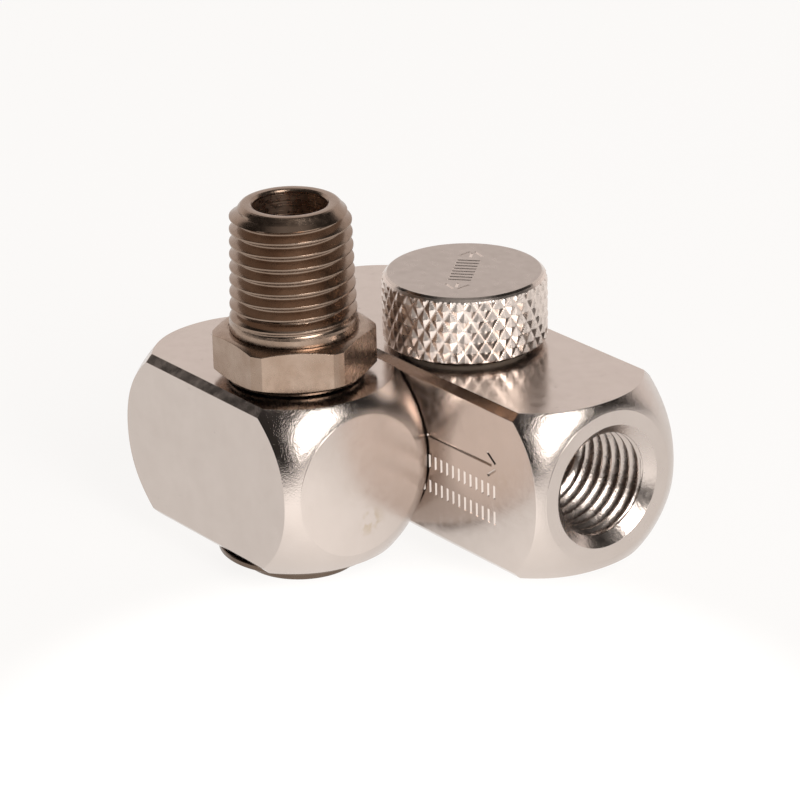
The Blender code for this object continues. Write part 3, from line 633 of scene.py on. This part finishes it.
def make_valve_body():
    centre = Vector((middle("valve_body").x, KNOB.y, KNOB.z))
    outline = bar_outline()
    angles = np.arctan2(outline[:, 1], outline[:, 0]) % math.tau
    start = int(np.argmin(angles))
    outline, angles = np.roll(outline, -start, 0), np.roll(angles, -start)
    port_face = centre.x + VALVE_LENGTH / 2
    direction = outline / np.linalg.norm(outline, axis=1)[:, None]

    def ring(radius, depth):
        shape = np.broadcast_to(radius, angles.shape)[:, None] * direction
        x = np.broadcast_to(port_face - depth, angles.shape)[:, None]
        return np.concatenate([x, shape + np.array([centre.y, centre.z])], -1)

    lip = 0.05 * MM
    mouth = np.stack([ring(VALVE_FACE - DISC_STEP, 0), ring(PORT_MOUTH + 2 * lip, 0)])
    sink = np.stack([ring(PORT_MOUTH + 2 * lip, 0), ring(PORT_MOUTH + lip, 0.2 * lip),
                     ring(PORT_MOUTH, lip), ring(PORT_CREST + 0.5 * THREAD_DEPTH, 0.6 * THREAD_START),
                     ring(PORT_CREST + lip, THREAD_START)])
    depth, lift = helix_rows(THREAD_START, THREAD_END, angles)
    crest = PORT_CREST - TAPER * depth
    form = thread_form((depth - THREAD_START) / PITCH - angles / math.tau)
    run_in = np.clip((depth - THREAD_START) / (0.35 * PITCH), 0, 1)
    run_out = np.clip((THREAD_END - depth) / (1.5 * PITCH), 0, 1)
    radius = crest + THREAD_DEPTH * (1 - form) * run_out * run_in + lip * (1 - run_in)
    across = radius[..., None] * direction + np.array([centre.y, centre.z])
    threads = np.concatenate([(port_face - depth)[..., None], across], -1)
    tap = PORT_CREST - TAPER * THREAD_END
    way_end = port_face - PIVOT.x
    floor = np.stack([ring(tap, THREAD_END), ring(tap, PORT_DEPTH - 1.2 * MM),
                      ring(AIR_WAY + lip, PORT_DEPTH), ring(AIR_WAY, PORT_DEPTH + lip),
                      ring(AIR_WAY, way_end), ring(0, way_end)])
    front = [(mouth, 2, 0), (sink, 3, 0), (threads, 3, lift), (floor, 3, 0)]
    body = solid("valve_body_shell", turned_bar(centre, VALVE_LENGTH, outline, VALVE_FACE, front))
    half = BAR / 2
    wide = PLUG_BORE + HOLE_CHAMFER
    profile = [(0, -BAR), (PLUG_RECESS, -BAR), (PLUG_RECESS, PLUG_RECESS_TOP),
               (PLUG_BORE, PLUG_RECESS_TOP), (PLUG_BORE, half - HOLE_CHAMFER), (wide, half),
               (wide, BAR), (0, BAR)]
    plug_bore = bore_cutter(profile, "Z", KNOB, 3)
    profile = [(0, -BAR), (THRUST_RECESS, -BAR), (THRUST_RECESS, THRUST_RECESS_DEPTH - half),
               (PIVOT_HOLE, THRUST_RECESS_DEPTH - half), (PIVOT_HOLE, PIVOT_HOLE_END),
               (0, PIVOT_HOLE_END)]
    pivot_bore = bore_cutter(profile, "Y", (PIVOT.x, centre.y, centre.z), 3)
    drawn = nickel("nickel_drawn_valve", drawn_marks((14, 3, 1)), 0.004 * MM, (0.14, 0.26))
    turned = nickel("nickel_turned_valve", lathe_marks(centre, 0.05 * MM, 0.85), 0.040 * MM, (0.08, 0.15))
    faced = nickel("nickel_faced_valve", lathe_marks(centre, 0.14 * MM, 0.15), 0.03 * MM, (0.16, 0.28),
                   1.04)
    for finish in (drawn, turned, faced, bore_nickel):
        body.data.materials.append(finish)
    cut(body, [plug_bore, pivot_bore])
    cut(body, [flow_marks(centre)])
    even_shading(body)
    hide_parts("valve_body")
    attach(body, "valve_body")


make_valve_body()


# ---------------------------------------------------------------- tool stem
# One turned piece of hexagon steel with a brownish dark nickel plate: taper pipe thread above,
# hexagon for the spanner, and below it the grooved shank that turns in the swivel block.
HEX_APOTHEM = 15.875 / 2 * MM
HEX_ROUND = 8.8 * MM
HEX_FACE = 7.6 * MM
HEX_LOW = 10.2 * MM
HEX_HIGH = 14.95 * MM
HEX_TURN = math.radians(-34)
HEX_CONE = math.tan(math.radians(20))
SHANK = 5.4 * MM
SHANK_END = -9.45 * MM
COLLAR = 6.95 * MM
STEM_THREAD_LOW = 16.1 * MM
STEM_THREAD_TOP = 28.3 * MM
STEM_CREST = 6.5 * MM
STEM_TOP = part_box("tool_stem")[1].z - STEM.z


def hexagon_angles():
    """Angles that meet every corner of the turned-down hexagon, and the outline's radius there."""
    flat = math.acos(HEX_APOTHEM / HEX_ROUND)
    face = np.linspace(-flat, flat, 19)
    land = np.linspace(flat, math.radians(60) - flat, 5)[1:-1]
    sector = np.concatenate([face, land])
    radius = np.minimum(HEX_APOTHEM / np.cos(sector), HEX_ROUND)
    radius[len(face):] = HEX_ROUND
    angles = (HEX_TURN + sector[None] + np.radians(60) * np.arange(6)[:, None]).ravel()
    start = int(np.argmin(angles % math.tau))
    return np.roll(angles % math.tau, -start), np.roll(np.tile(radius, 6), -start)


def dark_nickel(name, marks, relief, shine, tone):
    """Dark nickel plate: a brown grey metal, a little cloudy, paler where the plate is thin."""
    material, tree, _ = surface(name)
    here = node(tree, "ShaderNodeTexCoord").outputs["Object"]
    patchy = ranged(tree, noise(tree, here, 420.0, 4.0), 0.3, 0.7)
    tint = blend(tree, patchy, plate_tone((0.315, 0.222, 0.165), tone),
                 plate_tone((0.385, 0.288, 0.225), tone))
    rough = ranged(tree, noise(tree, here, 1500.0, 3.0), 0.3, 0.7, *shine)
    finish_metal(material, tint, rough, marks(tree, here), relief)
    return material


def feed_marks(pitch, grain):
    """Rings left by the tool at every height of a piece that was turned about Z, with some grain."""
    def height(tree, here):
        climb = node(tree, "ShaderNodeSeparateXYZ", [(0, here)]).outputs["Z"]
        return mixed_heights(tree, grain, tool_rings(tree, climb, pitch), noise(tree, here, 4200.0, 3.0))
    return height


STEM_BORE = 4.0 * MM
SHANK_BORE = 2.9 * MM
SCREW_HOLE = 2.5 * MM
CROSS_HOLE = 1.7 * MM
SEAL_POCKET = 3.9 * MM
SEAL_POCKET_TOP = -8.1 * MM
LIP_RADIUS = 5.78 * MM


def make_tool_stem():
    angles, hex_radius = hexagon_angles()
    e = 0.05 * MM

    def rise(radius):
        """Drop of the 20 degree cone on the hexagon's faces at this radius."""
        return (radius - HEX_FACE) * HEX_CONE

    groove_floor, groove_half, seal_height = 4.1 * MM, 0.85 * MM, 5.3 * MM
    waist, waist_half = 4.3 * MM, 2.6 * MM
    shank = [(SEAL_POCKET, SHANK_END), (SHANK - 0.3 * MM, SHANK_END), (SHANK, SHANK_END + 0.3 * MM)]
    for spot, floor, half in ((-seal_height, groove_floor, groove_half), (0.0, waist, waist_half),
                              (seal_height, groove_floor, groove_half)):
        low, high = spot - half, spot + half
        shank += [(SHANK, low), (floor, low), (floor, high), (SHANK, high)]
    shank += [(SHANK, HEX_LOW - 0.25 * MM), (SHANK + 0.25 * MM, HEX_LOW), (HEX_FACE, HEX_LOW)]
    corner = rise(hex_radius)
    half_hexagon = [(HEX_FACE + e, rise(HEX_FACE + e)), (hex_radius - e, rise(hex_radius - e)),
                    (hex_radius - 0.3 * e, corner + 0.3 * e), (hex_radius, corner + e)]
    hexagon = [(HEX_FACE, HEX_LOW)] + [(r, HEX_LOW + drop) for r, drop in half_hexagon]
    hexagon += [(r, HEX_HIGH - drop) for r, drop in reversed(half_hexagon)]
    foot = HEX_HIGH - 0.1 * MM
    hexagon += [(HEX_FACE - e, HEX_HIGH), (COLLAR + 0.16 * MM, HEX_HIGH), (COLLAR + 0.14 * MM, foot),
                (COLLAR, foot)]
    low_crest = STEM_CREST + TAPER * (STEM_THREAD_TOP - STEM_THREAD_LOW)
    collar = [(COLLAR, foot), (COLLAR, STEM_THREAD_LOW - 0.3 * MM),
              (COLLAR - 0.02 * MM, STEM_THREAD_LOW - 0.22 * MM), (low_crest, STEM_THREAD_LOW)]
    heights, lift = helix_rows(STEM_THREAD_LOW, STEM_THREAD_TOP, angles)
    crest = low_crest - TAPER * (heights - STEM_THREAD_LOW)
    turns = (heights - STEM_THREAD_LOW) / PITCH
    form = thread_form(turns - angles / math.tau)
    run_out = np.clip(turns / 0.9, 0, 1)
    lip_cone = LIP_RADIUS + (STEM_THREAD_TOP - heights) * 1.15
    radius = np.minimum(crest - THREAD_DEPTH * (1 - form) * run_out, lip_cone)
    thread = np.stack([radius * np.cos(angles), radius * np.sin(angles), heights], -1)
    top_form = thread_form((STEM_THREAD_TOP - STEM_THREAD_LOW) / PITCH - angles / math.tau)
    top_radius = np.minimum(STEM_CREST - THREAD_DEPTH * (1 - top_form), LIP_RADIUS)
    lip = np.array([(5.58, 0.45), (5.46, 0.32), (5.28, 0.12), (5.08, 0.03), (4.9, 0), (4.6, 0),
                    (4.32, 0.03), (4.14, 0.12), (4.03, 0.28), (4.0, 0.5)]) * MM  # radius, drop
    rim = [(top_radius, STEM_THREAD_TOP)] + [(r, STEM_TOP - drop) for r, drop in lip]
    bore = [rim[-1], (STEM_BORE, 10.1 * MM), (SHANK_BORE, 9.0 * MM), (SHANK_BORE, -4.0 * MM),
            (SCREW_HOLE, -4.0 * MM), (SCREW_HOLE, SEAL_POCKET_TOP), (SEAL_POCKET, SEAL_POCKET_TOP),
            (SEAL_POCKET, SHANK_END)]
    skins = [(laid(around(rows, angles), "Z", STEM), finish, 0)
             for rows, finish in ((shank, 1), (hexagon, 0), (collar, 0), (rim, 1), (bore, 2))]
    skins.append((laid(thread, "Z", STEM), 1, lift))
    stem = solid("tool_stem_turned", skins, 14)
    cross = [(0, -BAR / 2), (CROSS_HOLE, -BAR / 2), (CROSS_HOLE, BAR / 2), (0, BAR / 2)]
    flats = dark_nickel("dark_nickel_hexagon", drawn_marks((1, 1, 4)), 0.003 * MM, (0.20, 0.32), 0.98)
    turned = dark_nickel("dark_nickel_turned", feed_marks(0.05 * MM, 0.6), 0.010 * MM, (0.18, 0.30), 0.84)
    bored = dark_nickel("dark_nickel_bore", feed_marks(0.22 * MM, 0.2), 0.05 * MM, (0.22, 0.34), 1.5)
    for finish in (flats, turned, bored):
        stem.data.materials.append(finish)
    cut(stem, [bore_cutter(cross, axis, STEM, 2, 32) for axis in "XY"], crease=14)
    even_shading(stem)
    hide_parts("tool_stem")
    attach(stem, "tool_stem")


make_tool_stem()


# ---------------------------------------------------------------- washers and end screw
# Turned rings that carry the thrust of the stem and the spindle, and the screw that holds the stem.
# Each has its edges broken with a small chamfer.
def broken_ring(inner, outer, low, high, edge):
    """Closed outline of a washer with all four edges chamfered."""
    corners = [(inner + edge, low), (outer - edge, low), (outer, low + edge), (outer, high - edge),
               (outer - edge, high), (inner + edge, high), (inner, high - edge), (inner, low + edge)]
    return corners + corners[:1]


def half_size(node_name, axis):
    low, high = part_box(node_name)
    return (high - low)["XYZ".index(axis)] / 2


def make_washer(name, cad_name, inner, edge, axis, body, material):
    place = middle(cad_name)
    across = "X" if axis != "X" else "Y"
    outer, half = half_size(cad_name, across), half_size(cad_name, axis)
    rows = broken_ring(inner, outer, -half, half, edge)
    washer = solid(name, [(laid(around(rows, even_angles(120)), axis, place), 0, 0)], 20)
    washer.data.materials.append(material)
    even_shading(washer)
    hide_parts(cad_name)
    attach(washer, body)


def grainy(tree, shader, scale, detail, one, other, strength):
    """Two close tones mottled by a fine noise, which also roughens the skin."""
    here = node(tree, "ShaderNodeTexCoord").outputs["Object"]
    grain = noise(tree, here, scale, detail)
    bump = node(tree, "ShaderNodeBump", [("Height", grain), ("Strength", strength),
                                         ("Distance", 0.02 * MM)])
    tree.links.new(blend(tree, grain, one, other), shader.inputs["Base Color"])
    tree.links.new(bump.outputs[0], shader.inputs["Normal"])


def plastic(name, colour):
    """Turned natural acetal, faintly mottled and waxy."""
    material, tree, shader = surface(name)
    grainy(tree, shader, 700.0, 3.0, plate_tone(colour, 0.88), plate_tone(colour, 1.0), 0.2)
    shader.inputs["Roughness"].default_value = 0.42
    return material


acetal = plastic("natural_acetal", (0.80, 0.78, 0.72))
# Dark nickel at 0.45 of its tone is painted shade. It darkens the stem's washers and end screw for the
# shade under the hexagon and under the blocks.
washer_nickel_painted_shade = dark_nickel("dark_nickel_washer_painted_shade", feed_marks(0.06 * MM, 0.5), 0.01 * MM, (0.2, 0.34),
                            0.45)
make_washer("stem_lower_washer_ring", "stem_lower_washer", 2.5 * MM, 0.08 * MM, "Z", "tool_stem",
            washer_nickel_painted_shade)
make_washer("stem_upper_washer_ring", "stem_upper_washer", 5.7 * MM, 0.04 * MM, "Z", "tool_stem",
            washer_nickel_painted_shade)
make_washer("pivot_thrust_ring", "pivot_thrust_washer", 4.5 * MM, 0.06 * MM, "Y", "valve_body",
            acetal)
make_washer("knob_thrust_ring", "knob_thrust_washer", 5.3 * MM, 0.06 * MM, "Z", "regulator",
            acetal)


def make_end_screw():
    """Flat round head with a screwdriver slot, and a plain shank that reaches into the stem."""
    low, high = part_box("stem_end_screw")
    bottom, top = low.z - STEM.z, high.z - STEM.z
    head, shank, head_top, edge = (high.x - low.x) / 2, 2.2 * MM, -10.55 * MM, 0.35 * MM
    slot_depth = 0.9 * MM
    slot_half = 0.6 * MM
    slot_turn = Matrix.Rotation(math.radians(52.6), 3, "Z")
    rows = [(0, bottom), (head - edge, bottom), (head - 0.3 * edge, bottom + 0.3 * edge),
            (head, bottom + edge), (head, head_top - 0.1 * MM), (head - 0.1 * MM, head_top),
            (shank, head_top), (shank, top - 0.4 * MM), (shank - 0.4 * MM, top), (0, top)]
    screw = solid("stem_end_screw_turned", [(laid(around(rows, even_angles(120)), "Z", STEM), 0, 0)], 20)
    slot = bpy.data.meshes.new("slot")
    reach = head + edge
    corners = [(x, y, z) for x in (-reach, reach) for y in (-slot_half, slot_half)
               for z in (bottom - edge, bottom + slot_depth)]
    faces = [(0, 1, 3, 2), (4, 6, 7, 5), (0, 4, 5, 1), (2, 3, 7, 6), (0, 2, 6, 4), (1, 5, 7, 3)]
    slot.from_pydata([tuple(slot_turn @ Vector(c) + STEM) for c in corners], [], faces)
    cutter = bpy.data.objects.new("slot", slot)
    bpy.context.scene.collection.objects.link(cutter)
    # The end screw takes the washers' dark nickel, which is darkened with painted shade.
    screw.data.materials.append(washer_nickel_painted_shade)
    cut(screw, [cutter], crease=20)
    even_shading(screw)
    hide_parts("stem_end_screw")
    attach(screw, "tool_stem")


make_end_screw()


# ---------------------------------------------------------------- regulator knob
# A turned knob with a diamond knurl pressed into its rim by crossed wheels, a plain chamfer above
# and below the knurl, and a brushed flat top with a plain direction arrow stamped in.
KNOB_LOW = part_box("regulator_knob")[0].z - KNOB.z
KNOB_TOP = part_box("regulator_knob")[1].z - KNOB.z
KNOB_RADIUS = half_size("regulator_knob", "X")
KNOB_FACE = 8.45 * MM
KNURL_COUNT = 37
KNURL_TALL = 2.42 * MM
KNURL_DEPTH = 0.24 * MM
KNURL_FINE = 6
KNOB_BAND_LOW = 0.25 * MM
KNOB_RECESS = 7.4 * MM
KNOB_RECESS_TOP = 10.75 * MM
NECK_HOLE = 3.6 * MM
NECK_HOLE_TOP = 15.2 * MM


def knurl_height(across, along):
    """Height 0 to 1 of a diamond knurl: the nearer of two crossing families of grooves.

    across counts diamonds round the knob and along counts them up it. A groove has a narrow flat
    floor and straight flanks, and the diamonds' tips are pressed flat.
    """
    one = 1 - np.abs((across + along) % 1.0 - 0.5) * 2
    other = 1 - np.abs((across - along) % 1.0 - 0.5) * 2
    flat = 1 / KNURL_FINE
    return np.clip((np.minimum(one, other) - 0.6 * flat) / (1 - 1.6 * flat), 0, 1)


def knob_top_edge(height):
    """Radius of the chamfer cone above the knurl at this height, from the top face downwards."""
    return KNOB_FACE + (KNOB_TOP - height) * 1.05


def make_knob():
    columns = KNURL_COUNT * 2 * KNURL_FINE
    cell = KNURL_TALL / 2 / KNURL_FINE
    low, high = KNOB_LOW + KNOB_BAND_LOW, KNOB_TOP - 0.12 * MM
    count = int((high - low) / cell) + 1
    heights = np.linspace(low, low + cell * (count - 1), count)
    angles = even_angles(columns)
    across = angles[None] / math.tau * KNURL_COUNT + 0.5
    along = (heights[:, None] - low) / KNURL_TALL
    wear = 0.9 + 0.1 * np.sin(7 * angles)[None] * np.cos(3 * angles + 1.0)[None]
    raised = knurl_height(across, along) * wear
    radius = KNOB_RADIUS - KNURL_DEPTH * (1 - raised)
    foot = KNOB_RADIUS - 0.22 * MM + (heights - low)[:, None] * 1.3
    radius = np.minimum(np.minimum(radius, knob_top_edge(heights)[:, None]), foot)
    wall = np.stack([radius * np.cos(angles), radius * np.sin(angles),
                     np.broadcast_to(heights[:, None], radius.shape)], -1)
    edge = 0.03 * MM
    top_ring = (radius[-1], heights[-1])
    cone = [top_ring, (KNOB_FACE + edge, KNOB_TOP - edge), (KNOB_FACE - edge, KNOB_TOP)]
    crown = [(KNOB_FACE - edge, KNOB_TOP), (0.5 * KNOB_FACE, KNOB_TOP), (0, KNOB_TOP)]
    under = [(0, NECK_HOLE_TOP), (NECK_HOLE, NECK_HOLE_TOP), (NECK_HOLE, KNOB_RECESS_TOP),
             (KNOB_RECESS, KNOB_RECESS_TOP), (KNOB_RECESS, KNOB_LOW + 0.1 * MM),
             (KNOB_RECESS + 0.1 * MM, KNOB_LOW), (KNOB_RADIUS - 0.55 * MM, KNOB_LOW),
             (radius[0], heights[0])]
    skins = [(laid(wall, "Z", KNOB), 0, 0)]
    skins += [(laid(around(rows, angles), "Z", KNOB), finish, 0)
              for rows, finish in ((cone, 2), (crown, 1), (under, 2))]
    return solid("regulator_knob_turned", skins, 16)


def lean_to_grooves(piece, finish):
    """Splits the knurl's quads along the diagonal that a groove follows, so that each V stays crisp."""
    shell = bmesh.new()
    shell.from_mesh(piece.data)
    quads = [f for f in shell.faces if f.material_index == finish and len(f.verts) == 4]
    bmesh.ops.triangulate(shell, faces=quads, quad_method="LONG_EDGE")
    shell.to_mesh(piece.data)
    shell.free()


BELT_TURN = math.radians(-52.6)
ARROW_TURN = math.radians(131.7)


def belt_marks(tree, here):
    """Straight brush lines of the facing belt across the knob's top."""
    turned = node(tree, "ShaderNodeMapping", [("Vector", here), ("Rotation", (0, 0, -BELT_TURN))],
                  vector_type="TEXTURE").outputs[0]
    drawn_out = node(tree, "ShaderNodeMapping", [("Vector", turned), ("Scale", (160.0, 6500.0, 1.0))])
    return noise(tree, drawn_out.outputs[0], 1.0, 3.0)


def make_marked_knob():
    knob = make_knob()
    lean_to_grooves(knob, 0)
    ahead = (math.cos(ARROW_TURN), math.sin(ARROW_TURN), 0)
    aside = (-math.sin(ARROW_TURN), math.cos(ARROW_TURN), 0)
    strokes = []
    for sign in (1, -1):
        tip, tail = (sign * 6.0 * MM, 0), (sign * 4.0 * MM, 0)
        strokes += arrow_strokes(tip, tail, 2.1 * MM, 0.22 * MM)
    for spot in np.linspace(-3.0 * MM, 3.0 * MM, 8):
        strokes.append(((spot, -1.35 * MM), (spot, 1.35 * MM)))
    place = (KNOB.x, KNOB.y, KNOB.z + KNOB_TOP)
    marks = stroke_cutter(strokes, 0.30 * MM, 0.052 * MM, place, ahead, aside, (0, 0, 1))
    # The knurl's nickel at 1.3 times the plate's tone is painted light. It is paler than plain nickel, so
    # the knurl's facets look brighter.
    knurl_painted_light = nickel("nickel_knurl_painted_light", hole_marks, 0.004 * MM, (0.24, 0.36), 1.3)
    brushed = nickel("nickel_knob_top", belt_marks, 0.012 * MM, (0.26, 0.36), 0.83)
    turned = nickel("nickel_knob_cone", hole_marks, 0.012 * MM, (0.10, 0.2))
    for finish in (knurl_painted_light, brushed, turned):
        knob.data.materials.append(finish)
    cut(knob, [marks], crease=16)
    even_shading(knob)
    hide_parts("regulator_knob")
    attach(knob, "regulator")


make_marked_knob()


# ---------------------------------------------------------------- pieces inside
# The spindle, the plug and the rings keep their plain shapes, because the blocks hide them. Each
# gets the finish of its own metal or rubber.
def hidden_metal(name, dark, light, rough):
    """Turned metal that stays inside: two close tones with some grain."""
    material, tree, shader = surface(name)
    grainy(tree, shader, 1800.0, 4.0, dark + (1,), light + (1,), 0.2)
    shader.inputs["Roughness"].default_value = rough
    shader.inputs["Metallic"].default_value = 1.0
    return material


def rubber(name):
    """Black nitrile rubber with a fine grey bloom."""
    material, tree, shader = surface(name)
    grainy(tree, shader, 2600.0, 4.0, (0.010, 0.010, 0.011, 1), (0.045, 0.044, 0.043, 1), 0.3)
    shader.inputs["Roughness"].default_value = 0.55
    return material


plain_steel = hidden_metal("turned_steel", (0.46, 0.45, 0.43), (0.60, 0.59, 0.57), 0.30)
spring_steel = hidden_metal("spring_steel", (0.16, 0.16, 0.17), (0.30, 0.30, 0.31), 0.36)
brass = hidden_metal("turned_brass", (0.62, 0.45, 0.20), (0.76, 0.59, 0.30), 0.28)
hidden_finishes = {
    plain_steel: ["pivot_spindle", "plug_bottom_washer"],
    spring_steel: ["pivot_snap_ring", "plug_retaining_ring"],
    brass: ["valve_plug"],
    rubber("nitrile_rubber"): ["stem_upper_o_ring", "stem_lower_o_ring", "stem_end_seal", "pivot_o_ring",
                               "pivot_seat_seal", "plug_upper_o_ring", "plug_lower_o_ring"],
}
for finish, names in hidden_finishes.items():
    for name in names:
        frame["nodes"][name].data.materials.clear()
        frame["nodes"][name].data.materials.append(finish)
